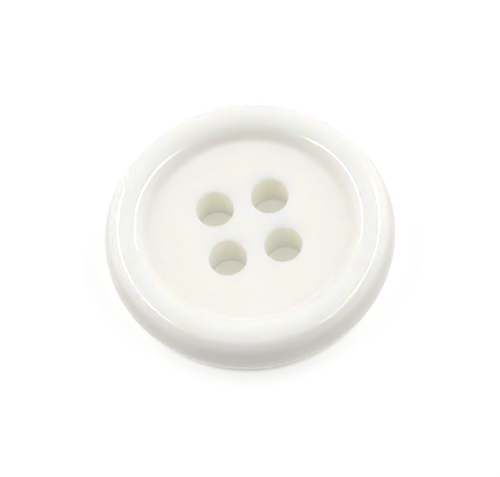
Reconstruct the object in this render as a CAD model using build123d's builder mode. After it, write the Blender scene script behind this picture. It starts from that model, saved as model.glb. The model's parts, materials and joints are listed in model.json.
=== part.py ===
"""Sew-through button with four thread holes, turned from one blank of cast resin.

Frame: origin at the centre of the flat back, +Z up through the face, the four
holes on a square whose sides run along X and Y. Millimetres.
"""

import os
from math import radians, tan

from build123d import *

# Driving dimensions
LIGNE = 0.635  # the button trade's unit of diameter
BUTTON_SIZE = 24  # in lignes
DIAMETER = round(BUTTON_SIZE * LIGNE)  # sold as 15 mm
THICKNESS = 3.0  # flat back to the crest of the rim
WEB_THICKNESS = 2.3  # flat back to the floor of the dish
HOLE_DIAMETER = 1.94
HOLE_SPACING = 2.9  # between neighbouring holes, centre to centre
HOLE_EDGE_FILLET = 0.1

# The rim is a rounded bead. From its level crest it rolls smoothly down to the
# dish wall on the inside, and on the outside it falls off a little, then turns
# sharply down the side.
CREST_RADIUS = 6.3  # the middle of the crest
CREST_WIDTH = 0.04
INNER_FILLET = 1.3
WALL_SLOPE = 45  # degrees, the dish wall's climb to the rim
DISH_FILLET = 0.4  # where the dish floor turns up into the wall
CROWN_FILLET = 1.4
CROWN_FALL = 15  # degrees below level, from the crest to the shoulder
SHOULDER_RADIUS = 6.99
SHOULDER_FILLET = 0.6

# The side leans out to the girth, its widest band, then tucks under to the back
SIDE_LEAN = 25  # degrees from upright, between the shoulder and the girth
UNDERCUT = 30  # degrees from upright, between the girth and the back
GIRTH_HEIGHT = 1.44  # the middle of the widest band
GIRTH_FILLET = 1.3
BACK_FILLET = 0.25


def corner_offset(fillet_radius, turn):
    """Distance from a sharp corner to where its fillet starts, for a turn in degrees."""
    return fillet_radius * tan(radians(turn) / 2)


os.makedirs("parts", exist_ok=True)

# Where the cross-section's corners would meet if they were left sharp
inner_corner = CREST_RADIUS - CREST_WIDTH / 2 - corner_offset(INNER_FILLET, WALL_SLOPE)
dish_foot = inner_corner - (THICKNESS - WEB_THICKNESS) / tan(radians(WALL_SLOPE))
crown_corner = CREST_RADIUS + CREST_WIDTH / 2 + corner_offset(CROWN_FILLET, CROWN_FALL)
shoulder_height = THICKNESS - (SHOULDER_RADIUS - crown_corner) * tan(radians(CROWN_FALL))
girth = DIAMETER / 2
girth_top = shoulder_height - (girth - SHOULDER_RADIUS) / tan(radians(SIDE_LEAN))
girth_bottom = 2 * GIRTH_HEIGHT - girth_top
back_edge = girth - girth_bottom * tan(radians(UNDERCUT))

with BuildPart() as button:
    with BuildSketch(Plane.XZ):
        with BuildLine():
            outline = FilletPolyline(
                (0, WEB_THICKNESS),
                (dish_foot, WEB_THICKNESS),
                (inner_corner, THICKNESS),
                (crown_corner, THICKNESS),
                (SHOULDER_RADIUS, shoulder_height),
                (girth, girth_top),
                (girth, girth_bottom),
                (back_edge, 0),
                (0, 0),
                radius=[
                    DISH_FILLET,
                    INNER_FILLET,
                    CROWN_FILLET,
                    SHOULDER_FILLET,
                    GIRTH_FILLET,
                    GIRTH_FILLET,
                    BACK_FILLET,
                ],
            )
            Line(outline @ 1, outline @ 0)
        make_face()
    revolve(axis=Axis.Z)

    # Four thread holes through the web
    with Locations((0, 0, WEB_THICKNESS)):
        with GridLocations(HOLE_SPACING, HOLE_SPACING, 2, 2):
            Hole(HOLE_DIAMETER / 2)
    hole_edges = button.edges(Select.LAST).filter_by(GeomType.CIRCLE)
    fillet(hole_edges, HOLE_EDGE_FILLET)

button.part.label = "button_body"
export_step(button.part, "parts/button_body.step")
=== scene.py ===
import json
from math import atan2, ceil, cos, pi, radians, sin, tan

import bmesh
import bpy
from mathutils import Matrix, Vector


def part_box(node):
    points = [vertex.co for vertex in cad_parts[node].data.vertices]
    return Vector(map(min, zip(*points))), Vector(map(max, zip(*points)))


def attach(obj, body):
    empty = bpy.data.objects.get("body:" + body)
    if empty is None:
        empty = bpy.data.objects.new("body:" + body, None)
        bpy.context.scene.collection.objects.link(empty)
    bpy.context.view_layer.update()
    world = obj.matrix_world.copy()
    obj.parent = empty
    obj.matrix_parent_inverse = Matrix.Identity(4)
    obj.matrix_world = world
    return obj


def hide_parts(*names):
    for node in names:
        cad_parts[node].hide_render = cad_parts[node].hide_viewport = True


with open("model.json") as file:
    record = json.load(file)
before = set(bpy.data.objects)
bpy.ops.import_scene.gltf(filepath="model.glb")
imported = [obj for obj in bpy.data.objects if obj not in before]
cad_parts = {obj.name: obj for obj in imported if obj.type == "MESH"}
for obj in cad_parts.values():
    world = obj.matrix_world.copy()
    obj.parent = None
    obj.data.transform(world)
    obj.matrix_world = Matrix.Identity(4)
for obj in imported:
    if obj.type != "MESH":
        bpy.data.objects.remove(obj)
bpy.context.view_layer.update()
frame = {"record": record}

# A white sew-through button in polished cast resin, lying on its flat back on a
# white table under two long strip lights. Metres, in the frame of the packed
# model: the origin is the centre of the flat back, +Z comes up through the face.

MM = 0.001

# ------------------------------------------------------------------ sizes
_, body_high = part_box("button_body")
GIRTH_RADIUS = body_high.x
THICKNESS = body_high.z

# The four thread holes are alike, so the first one's sizes serve for all of them
thread_hole = next(m for m in frame["record"]["mounts"] if m["kind"] == "bore")
HOLE_RADIUS = thread_hole["dims"]["r_mm"] * MM
HOLE_OFFSET = abs(thread_hole["pos_m"][0])  # from the axis, along X and along Y
WEB_THICKNESS = 2 * thread_hole["pos_m"][2]  # a hole is placed by its mid-height
HOLE_EDGE_ROUND = (WEB_THICKNESS - thread_hole["dims"]["length_mm"] * MM) / 2

# The rim is a rounded bead. From its level crest it rolls down to the dish wall on
# the inside, and on the outside it falls off a little, then turns down the side.
CREST_RADIUS = 6.3 * MM  # the middle of the crest
CREST_WIDTH = 0.04 * MM
INNER_ROUND = 1.3 * MM
WALL_SLOPE = radians(45)  # the dish wall's climb to the rim
DISH_ROUND = 0.4 * MM  # where the dish floor turns up into the wall
CROWN_ROUND = 1.4 * MM
CROWN_FALL = radians(15)  # below level, from the crest to the shoulder
SHOULDER_RADIUS = 6.99 * MM
SHOULDER_ROUND = 0.6 * MM
SIDE_LEAN = radians(25)  # from upright, between the shoulder and the girth
UNDERCUT = radians(30)  # from upright, between the girth and the back
GIRTH_HEIGHT = 1.44 * MM  # the middle of the widest band
GIRTH_ROUND = 1.3 * MM
BACK_ROUND = 0.25 * MM

# ------------------------------------------------------------------ mesh density
ARC_STEP = radians(3)  # along the profile's rounded corners
RUN_STEP = 0.2 * MM  # along its straight runs
QUARTER_STEPS = 72  # round a quarter of the button
SPOKE_STEPS = 44  # from the drilled area's edge in to the axis
BLOCK_STEPS = 9  # from the drilled area's edge in to a hole
BLOCK_CROWDING = 1.3  # above 1, those steps grow shorter towards the hole
EDGE_STEPS = 6  # over a hole's rounded edge
BORE_STEPS = 10  # down a hole's wall
DRILLED_RADIUS = 4.1 * MM  # the four quarter blocks round the holes end here
HOLE_TO_AXIS = radians(225)  # the direction from the first quarter's hole to the axis
WELD_GAP = 0.0001 * MM  # points nearer than this become one


# ------------------------------------------------------------------ the button's shape
def corner_offset(round_radius, turn):
    """Distance from a sharp corner to where its rounding starts."""
    return round_radius * tan(turn / 2)


def section_corners():
    """Half the cross-section's sharp corners, face first, with the rounding of each."""
    inner = CREST_RADIUS - CREST_WIDTH / 2 - corner_offset(INNER_ROUND, WALL_SLOPE)
    dish_foot = inner - (THICKNESS - WEB_THICKNESS) / tan(WALL_SLOPE)
    crown = CREST_RADIUS + CREST_WIDTH / 2 + corner_offset(CROWN_ROUND, CROWN_FALL)
    shoulder_height = THICKNESS - (SHOULDER_RADIUS - crown) * tan(CROWN_FALL)
    girth_top = shoulder_height - (GIRTH_RADIUS - SHOULDER_RADIUS) / tan(SIDE_LEAN)
    girth_bottom = 2 * GIRTH_HEIGHT - girth_top
    back_edge = GIRTH_RADIUS - girth_bottom * tan(UNDERCUT)
    return [
        ((DRILLED_RADIUS, WEB_THICKNESS), 0),
        ((dish_foot, WEB_THICKNESS), DISH_ROUND),
        ((inner, THICKNESS), INNER_ROUND),
        ((crown, THICKNESS), CROWN_ROUND),
        ((SHOULDER_RADIUS, shoulder_height), SHOULDER_ROUND),
        ((GIRTH_RADIUS, girth_top), GIRTH_ROUND),
        ((GIRTH_RADIUS, girth_bottom), GIRTH_ROUND),
        ((back_edge, 0), BACK_ROUND),
        ((DRILLED_RADIUS, 0), 0),
    ]


def rounded_corner(before, corner, after, radius):
    """The points of the arc that rounds a corner off."""
    back = (before - corner).normalized()
    ahead = (after - corner).normalized()
    half_angle = back.angle(ahead) / 2
    centre = corner + (back + ahead).normalized() * radius / sin(half_angle)
    first = (corner + back * radius / tan(half_angle) - centre).normalized()
    last = (corner + ahead * radius / tan(half_angle) - centre).normalized()
    steps = ceil(first.angle(last) / ARC_STEP)
    return [centre + first.slerp(last, i / steps) * radius for i in range(steps + 1)]


def section_points():
    """The rounded section from the face round to the back, finely stepped."""
    corners = [(Vector(point), radius) for point, radius in section_corners()]
    points = [corners[0][0]]
    for (before, _), (corner, radius), (after, _) in zip(corners, corners[1:], corners[2:]):
        points += rounded_corner(before, corner, after, radius)
    points.append(corners[-1][0])
    stepped = points[:1]
    for start, end in zip(points, points[1:]):
        steps = ceil((end - start).length / RUN_STEP)
        stepped += [start.lerp(end, i / steps) for i in range(1, steps + 1)]
    return stepped


def steps_between(start, end, count):
    """Equal steps from start up to, but not including, end."""
    return [start + (end - start) * i / count for i in range(count)]


def ring(radius, z, count):
    """Points on a level circle round the axis."""
    return [Vector((radius * cos(a), radius * sin(a), z)) for a in steps_between(0, 2 * pi, count)]


def quarter_outline():
    """Round one quarter of the drilled area: (direction seen from the hole, point) pairs."""
    first = atan2(-HOLE_OFFSET, DRILLED_RADIUS - HOLE_OFFSET)
    turns = steps_between(0, pi / 2, QUARTER_STEPS)
    arc = [Vector((DRILLED_RADIUS * cos(a), DRILLED_RADIUS * sin(a))) for a in turns]
    inward = [Vector((0, r)) for r in steps_between(DRILLED_RADIUS, 0, SPOKE_STEPS)]
    outward = [Vector((r, 0)) for r in steps_between(0, DRILLED_RADIUS, SPOKE_STEPS)]
    directions = (
        steps_between(first, pi / 2 - first, QUARTER_STEPS)
        + steps_between(pi / 2 - first, HOLE_TO_AXIS, SPOKE_STEPS)
        + steps_between(HOLE_TO_AXIS, first + 2 * pi, SPOKE_STEPS)
    )
    return list(zip(directions, arc + inward + outward))


def hole_section():
    """(radius, height) pairs down a thread hole, over both of its rounded edges."""
    mouth = HOLE_RADIUS + HOLE_EDGE_ROUND
    top = WEB_THICKNESS - HOLE_EDGE_ROUND
    bottom = HOLE_EDGE_ROUND
    edge = [pi / 2 * i / EDGE_STEPS for i in range(EDGE_STEPS + 1)]
    upper = [(mouth - HOLE_EDGE_ROUND * sin(a), top + HOLE_EDGE_ROUND * cos(a)) for a in edge]
    wall = [(HOLE_RADIUS, z) for z in steps_between(top, bottom, BORE_STEPS)[1:]]
    lower = [(mouth - HOLE_EDGE_ROUND * cos(a), bottom - HOLE_EDGE_ROUND * sin(a)) for a in edge]
    return upper + wall + lower


def quarter_rings(turn):
    """The rings of one drilled quarter: in over the face, down the hole, out over the back."""
    outline = quarter_outline()
    centre = Vector((HOLE_OFFSET, HOLE_OFFSET))
    spin = Matrix.Rotation(turn, 3, "Z")

    def hole_point(direction, radius):
        return centre + Vector((cos(direction), sin(direction))) * radius

    def block(z):
        mouth = HOLE_RADIUS + HOLE_EDGE_ROUND
        rings = []
        for i in range(BLOCK_STEPS):
            share = 1 - (1 - i / BLOCK_STEPS) ** BLOCK_CROWDING
            flat = [edge.lerp(hole_point(direction, mouth), share) for direction, edge in outline]
            rings.append([spin @ Vector((p.x, p.y, z)) for p in flat])
        return rings

    hole = []
    for radius, z in hole_section():
        flat = [hole_point(direction, radius) for direction, _ in outline]
        hole.append([spin @ Vector((p.x, p.y, z)) for p in flat])
    return block(WEB_THICKNESS) + hole + block(0)[::-1]


def join_rings(mesh, rings):
    """Quads between each closed ring of points and the next."""
    rows = [[mesh.verts.new(point) for point in points] for points in rings]
    for row, following in zip(rows, rows[1:]):
        for i in range(len(row)):
            mesh.faces.new((row[i - 1], following[i - 1], following[i], row[i]))


def make_button():
    """The whole button as one closed, smooth mesh of quads."""
    mesh = bmesh.new()
    join_rings(mesh, [ring(r, z, 4 * QUARTER_STEPS) for r, z in section_points()])
    for quarter in range(4):
        join_rings(mesh, quarter_rings(quarter * pi / 2))
    bmesh.ops.remove_doubles(mesh, verts=mesh.verts, dist=WELD_GAP)
    bmesh.ops.recalc_face_normals(mesh, faces=mesh.faces)
    for face in mesh.faces:
        face.smooth = True
    data = bpy.data.meshes.new("button")
    mesh.to_mesh(data)
    mesh.free()
    return add_object("button", data)


def add_object(name, data):
    """A new object in the scene that shows the given data."""
    new_object = bpy.data.objects.new(name, data)
    bpy.context.scene.collection.objects.link(new_object)
    return new_object


# ------------------------------------------------------------------ materials
class Nodes:
    """A node tree, with short ways to add to it. An input is given as a value or a socket."""

    def __init__(self, owner):
        owner.use_nodes = True
        self.tree = owner.node_tree

    def feed(self, node, inputs):
        """Links sockets to the node's inputs, by name or number, and sets plain values on them."""
        for key, value in inputs.items():
            if isinstance(value, bpy.types.NodeSocket):
                self.tree.links.new(value, node.inputs[key])
            else:
                node.inputs[key].default_value = value

    def add(self, kind, inputs, **settings):
        """A new node of the given kind, with its settings made and its inputs fed."""
        node = self.tree.nodes.new(kind)
        for key, value in settings.items():
            setattr(node, key, value)
        self.feed(node, inputs)
        return node

    def math(self, operation, *values, **settings):
        """The result of an operation on plain numbers."""
        inputs = dict(enumerate(values))
        return self.add("ShaderNodeMath", inputs, operation=operation, **settings).outputs[0]

    def vector(self, operation, *values):
        """The node of an operation on vectors, with its result in Vector or in Value."""
        inputs = dict(enumerate(values))
        return self.add("ShaderNodeVectorMath", inputs, operation=operation)

    def ramp(self, value, low, high, at_low, at_high):
        """at_low below low, at_high above high, and a smooth step between."""
        levels = {"From Min": low, "From Max": high, "To Min": at_low, "To Max": at_high}
        inputs = {"Value": value, **levels}
        node = self.add("ShaderNodeMapRange", inputs, interpolation_type="SMOOTHSTEP")
        return node.outputs["Result"]

    def noise(self, place, grain, detail=2.0):
        """Cloudy noise from 0 to 1 whose blotches are about one grain across."""
        inputs = {"Vector": place, "Scale": 1 / grain, "Detail": detail}
        return self.add("ShaderNodeTexNoise", inputs).outputs["Fac"]

    def blend(self, share, first, second):
        """The first colour where share is 0, the second where it is 1."""
        inputs = {0: share, 6: first, 7: second}  # the Mix node's colour sockets
        return self.add("ShaderNodeMix", inputs, data_type="RGBA").outputs[2]


DISH_COLOUR = (0.938, 0.896, 0.850, 1)  # satin, a little creamy
BORE_PAINTED_GLOW = (0.980, 0.950, 0.865, 1)  # painted light: the thread holes' walls lighter and warmer, standing in for light shining through the resin into them
RIM_COLOUR = (0.943, 0.925, 0.897, 1)  # polished
FLANK_PAINTED_SHADE = (0.765, 0.745, 0.710, 1)  # painted shade: the outer side darker and greyer, standing in for the dimmer light it gets
CLOUD_COLOUR = (0.910, 0.875, 0.820, 1)  # warmer swirls in the cast resin
DISH_ROUGHNESS = 0.45
RIM_ROUGHNESS = 0.08
POLISH_START = 5.4 * MM  # the lathe's polish fades in from here outward
POLISH_END = 5.7 * MM
BORE_TOP = 2.25 * MM  # the dish's colour gives way to the bore's painted glow just below its floor
BORE_FADE = 0.2 * MM
FLANK_SHADE_BOTTOM = 2.1 * MM  # the rim's colour gives way to the flank's painted shade between these heights
FLANK_SHADE_TOP = 2.9 * MM
SWIRL_GRAIN = 3 * MM
SWIRL_START = 0.45  # the swirls fade in between these levels of their noise
SWIRL_END = 0.75
SWIRL_STRENGTH = 0.35
WEAR_GRAIN = 0.6 * MM
WEAR_SPREAD = 0.06  # of roughness, between the dullest and the shiniest spots
TURNING_PITCH = 0.11 * MM
DISH_GROOVE = 0.10  # the turning rings' share of the relief
RIM_GROOVE = 0.01
RIPPLE_GRAIN = 0.8 * MM
RIPPLE_SHARE = 0.5
RELIEF_DEPTH = 0.004 * MM
RESIN_IOR = 1.5
SCATTER_BY_COLOUR = (1.0, 0.85, 0.5)  # red light runs furthest in the resin, blue least
WEB_SCATTER = 2.3 * MM  # and all of it runs further in the thin web than in the rim
RIM_SCATTER = 0.5 * MM
WEB_RADIUS = 2.5 * MM  # the web's value holds inside here
RIM_RADIUS = 5 * MM  # the rim's holds outside here


def resin_material():
    """White polyester resin: translucent, polished on the rim, faintly turned inside it."""
    material = bpy.data.materials.new("resin")
    nodes = Nodes(material)
    shader = nodes.tree.nodes["Principled BSDF"]
    place = nodes.add("ShaderNodeTexCoord", {}).outputs["Object"]
    level = nodes.vector("MULTIPLY", place, (1, 1, 0)).outputs["Vector"]
    radius = nodes.vector("LENGTH", level).outputs["Value"]
    height = nodes.add("ShaderNodeSeparateXYZ", {"Vector": place}).outputs["Z"]
    off_back = nodes.ramp(height, 0, BACK_ROUND, 0, 1)
    outer = nodes.ramp(radius, POLISH_START, POLISH_END, 0, 1)
    polish = nodes.math("MULTIPLY", outer, off_back)

    # Colour: creamier inside the rim, painted light (lighter and warmer) down the holes, painted
    # shade (darker and greyer) down the outer side, with faint swirls
    # Painted light down the holes: their walls lighter and warmer than the dish
    below_dish = nodes.ramp(height, BORE_TOP - BORE_FADE, BORE_TOP, 1, 0)
    painted_bore_glow = nodes.math("MULTIPLY", below_dish, off_back)
    inside = nodes.blend(painted_bore_glow, DISH_COLOUR, BORE_PAINTED_GLOW)
    # Painted shade: darker and greyer down the outer side and its shoulder
    painted_flank_shade = nodes.ramp(height, FLANK_SHADE_BOTTOM, FLANK_SHADE_TOP, 1, 0)
    rim_and_flank_shade = nodes.blend(painted_flank_shade, RIM_COLOUR, FLANK_PAINTED_SHADE)
    clean = nodes.blend(polish, inside, rim_and_flank_shade)
    cloud = nodes.noise(place, SWIRL_GRAIN, detail=3)
    swirls = nodes.ramp(cloud, SWIRL_START, SWIRL_END, 0, SWIRL_STRENGTH)
    colour = nodes.blend(swirls, clean, CLOUD_COLOUR)

    # Roughness: satin dish and back, polished rim and flank, all a little uneven
    even = nodes.ramp(polish, 0, 1, DISH_ROUGHNESS, RIM_ROUGHNESS)
    spots = nodes.noise(place, WEAR_GRAIN, detail=4)
    wear = nodes.math("MULTIPLY_ADD", spots, WEAR_SPREAD, -WEAR_SPREAD / 2)
    roughness = nodes.math("ADD", even, wear, use_clamp=True)

    # Relief: fine rings left by the turning tool, fainter where the rim is polished
    phase = nodes.math("MULTIPLY", radius, 2 * pi / TURNING_PITCH)
    rings = nodes.math("SINE", phase)
    ring_depth = nodes.ramp(polish, 0, 1, DISH_GROOVE, RIM_GROOVE)
    grooves = nodes.math("MULTIPLY", rings, ring_depth)
    ripple = nodes.math("MULTIPLY", nodes.noise(place, RIPPLE_GRAIN, detail=1), RIPPLE_SHARE)
    relief = nodes.math("ADD", grooves, ripple)
    depth = {"Height": relief, "Distance": RELIEF_DEPTH, "Strength": 1.0}
    bump = nodes.add("ShaderNodeBump", depth)

    # Light under the surface: it runs furthest between the thread holes
    scatter = nodes.ramp(radius, WEB_RADIUS, RIM_RADIUS, WEB_SCATTER, RIM_SCATTER)

    nodes.feed(
        shader,
        {
            "Base Color": colour,
            "Roughness": roughness,
            "Normal": bump.outputs["Normal"],
            "IOR": RESIN_IOR,
            "Subsurface Weight": 1.0,
            "Subsurface Radius": SCATTER_BY_COLOUR,
            "Subsurface Scale": scatter,
        },
    )
    return material


TABLE_WHITE = (0.485, 0.495)  # the lowest and highest value of its faint mottle
MOTTLE_GRAIN = 40 * MM
TABLE_ROUGHNESS = 0.8
TABLE_SHINE = 0.2
TABLE_GLOW = 0.60
UNDER_SHADE_GLOW = 0.18  # painted shade: under the button the table glows less than in the open, though its glow still lights the button's web from below
# painted shade's colour: a yellowish tint like the shaded floor seen through the holes
PAINTED_UNDER_SHADE = (0.86, 0.87, 0.79, 1)
UNDER_SHADE_EDGE = 6.9 * MM  # the painted shade under the button gives way to the open table between these radii
OPEN_EDGE = 7.3 * MM


def table_material():
    """A matt white light table, with painted shade under the button: it glows less there and takes
    a yellowish tint.
    """
    material = bpy.data.materials.new("table")
    nodes = Nodes(material)
    place = nodes.add("ShaderNodeTexCoord", {}).outputs["Object"]
    radius = nodes.vector("LENGTH", place).outputs["Value"]
    open_table = nodes.ramp(radius, UNDER_SHADE_EDGE, OPEN_EDGE, 0, 1)
    mottle = nodes.ramp(nodes.noise(place, MOTTLE_GRAIN), 0, 1, *TABLE_WHITE)
    shade = nodes.add("ShaderNodeCombineColor", {"Red": mottle, "Green": mottle, "Blue": mottle})
    # Painted shade under the button, in colour and in glow
    nodes.feed(
        nodes.tree.nodes["Principled BSDF"],
        {
            "Base Color": nodes.blend(open_table, PAINTED_UNDER_SHADE, shade.outputs["Color"]),
            "Roughness": TABLE_ROUGHNESS,
            "Specular IOR Level": TABLE_SHINE,
            "Emission Color": (1, 1, 1, 1),
            "Emission Strength": nodes.ramp(open_table, 0, 1, UNDER_SHADE_GLOW, TABLE_GLOW),
        },
    )
    return material


# ------------------------------------------------------------------ table, lights, camera
CAMERA_AZIMUTH = radians(6.3)
CAMERA_ELEVATION = radians(62.7)
CAMERA_ROLL = radians(8.2)
CAMERA_DISTANCE = 150 * MM
LENS = 210.6  # mm, on the default 36 mm sensor
SIDESTEP = 0.06 * MM  # the camera's place right of the dish floor's centre, in its own view
RISE = -0.61 * MM  # and above it

TABLE_HALF = 400 * MM

# Long strip lights on either side, seen from the camera's side
STRIP_HEIGHT = 143 * MM
STRIP_REACH = 100 * MM
STRIP_WIDTH = 14 * MM
LEFT_STRIP = {"side": -1, "along": 53 * MM, "length": 182 * MM, "radiance": 12.9}
RIGHT_STRIP = {"side": 1, "along": -9 * MM, "length": 238 * MM, "radiance": 11.1}

# Soft light from the room: (direction seen from the camera's side, focus, strength)
BROAD = 4
NARROW = 16
ROOM_LIGHT = [
    ((0, 0, 1), BROAD, 0.15),  # overhead
    ((0, 1, 1), BROAD, 0.3),  # the back wall
    ((0, -0.6, 1), NARROW, 0.35),  # over the camera
    ((-1, 0.6, 0.6), NARROW, 0.6),  # the back corners
    ((1, 0.6, 0.6), NARROW, 0.75),
    ((-1, 0.2, 0.3), NARROW, 1.0),  # low at the sides
    ((1, 0.2, 0.3), NARROW, 0.9),
]

camera_side = Matrix.Rotation(-CAMERA_AZIMUTH, 3, "Z")  # x to the camera's right, y away from it


def make_table():
    """The wide table top that the button lies on."""
    corners = [(-1, -1), (1, -1), (1, 1), (-1, 1)]
    data = bpy.data.meshes.new("table")
    data.from_pydata([(x * TABLE_HALF, y * TABLE_HALF, 0) for x, y in corners], [], [range(4)])
    data.materials.append(table_material())
    add_object("table", data)


def make_strip(name, strip):
    """A long strip light, tilted to face the line of the table beneath the camera."""
    data = bpy.data.lights.new(name, "AREA")
    data.shape = "RECTANGLE"
    data.size = strip["length"]
    data.size_y = STRIP_WIDTH
    data.energy = pi * strip["length"] * STRIP_WIDTH * strip["radiance"]
    light = add_object(name, data)
    aim = camera_side @ Vector((0, strip["along"], 0))
    place = camera_side @ Vector((strip["side"] * STRIP_REACH, strip["along"], STRIP_HEIGHT))
    turn = (aim - place).to_track_quat("-Z", "Y")
    light.matrix_world = Matrix.Translation(place) @ turn.to_matrix().to_4x4()


def light_the_room():
    """A soft world light, the sum of a few broad patches of sky."""
    world = bpy.data.worlds.new("studio")
    bpy.context.scene.world = world
    nodes = Nodes(world)
    facing = nodes.add("ShaderNodeTexCoord", {}).outputs["Generated"]
    total = 0.0
    half = 0.5  # brings a cosine, which runs from -1 to 1, to between 0 and 1
    for direction, focus, strength in ROOM_LIGHT:
        axis = (camera_side @ Vector(direction)).normalized()
        cosine = nodes.vector("DOT_PRODUCT", facing, axis).outputs["Value"]
        closeness = nodes.math("MULTIPLY_ADD", cosine, half, half, use_clamp=True)
        patch = nodes.math("MULTIPLY", nodes.math("POWER", closeness, focus), strength)
        total = nodes.math("ADD", patch, total)
    nodes.feed(nodes.tree.nodes["Background"], {"Color": (1, 1, 1, 1), "Strength": total})


def place_camera():
    """The camera, above and in front, turned a little about its own axis."""
    data = bpy.data.cameras.new("camera")
    data.lens = LENS
    data.clip_start = 1 * MM
    tilt = Matrix.Rotation(pi / 2 - CAMERA_ELEVATION, 3, "X")
    turn = camera_side @ tilt @ Matrix.Rotation(-CAMERA_ROLL, 3, "Z")
    aim = Vector((0, 0, WEB_THICKNESS))
    place = aim + turn @ Vector((SIDESTEP, RISE, CAMERA_DISTANCE))
    camera = add_object("camera", data)
    camera.matrix_world = Matrix.Translation(place) @ turn.to_4x4()
    bpy.context.scene.camera = camera


button = make_button()
button.data.materials.append(resin_material())
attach(button, "root")
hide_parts("button_body")

make_table()
make_strip("left_strip", LEFT_STRIP)
make_strip("right_strip", RIGHT_STRIP)
light_the_room()
place_camera()
bpy.context.scene.view_settings.view_transform = "Standard"
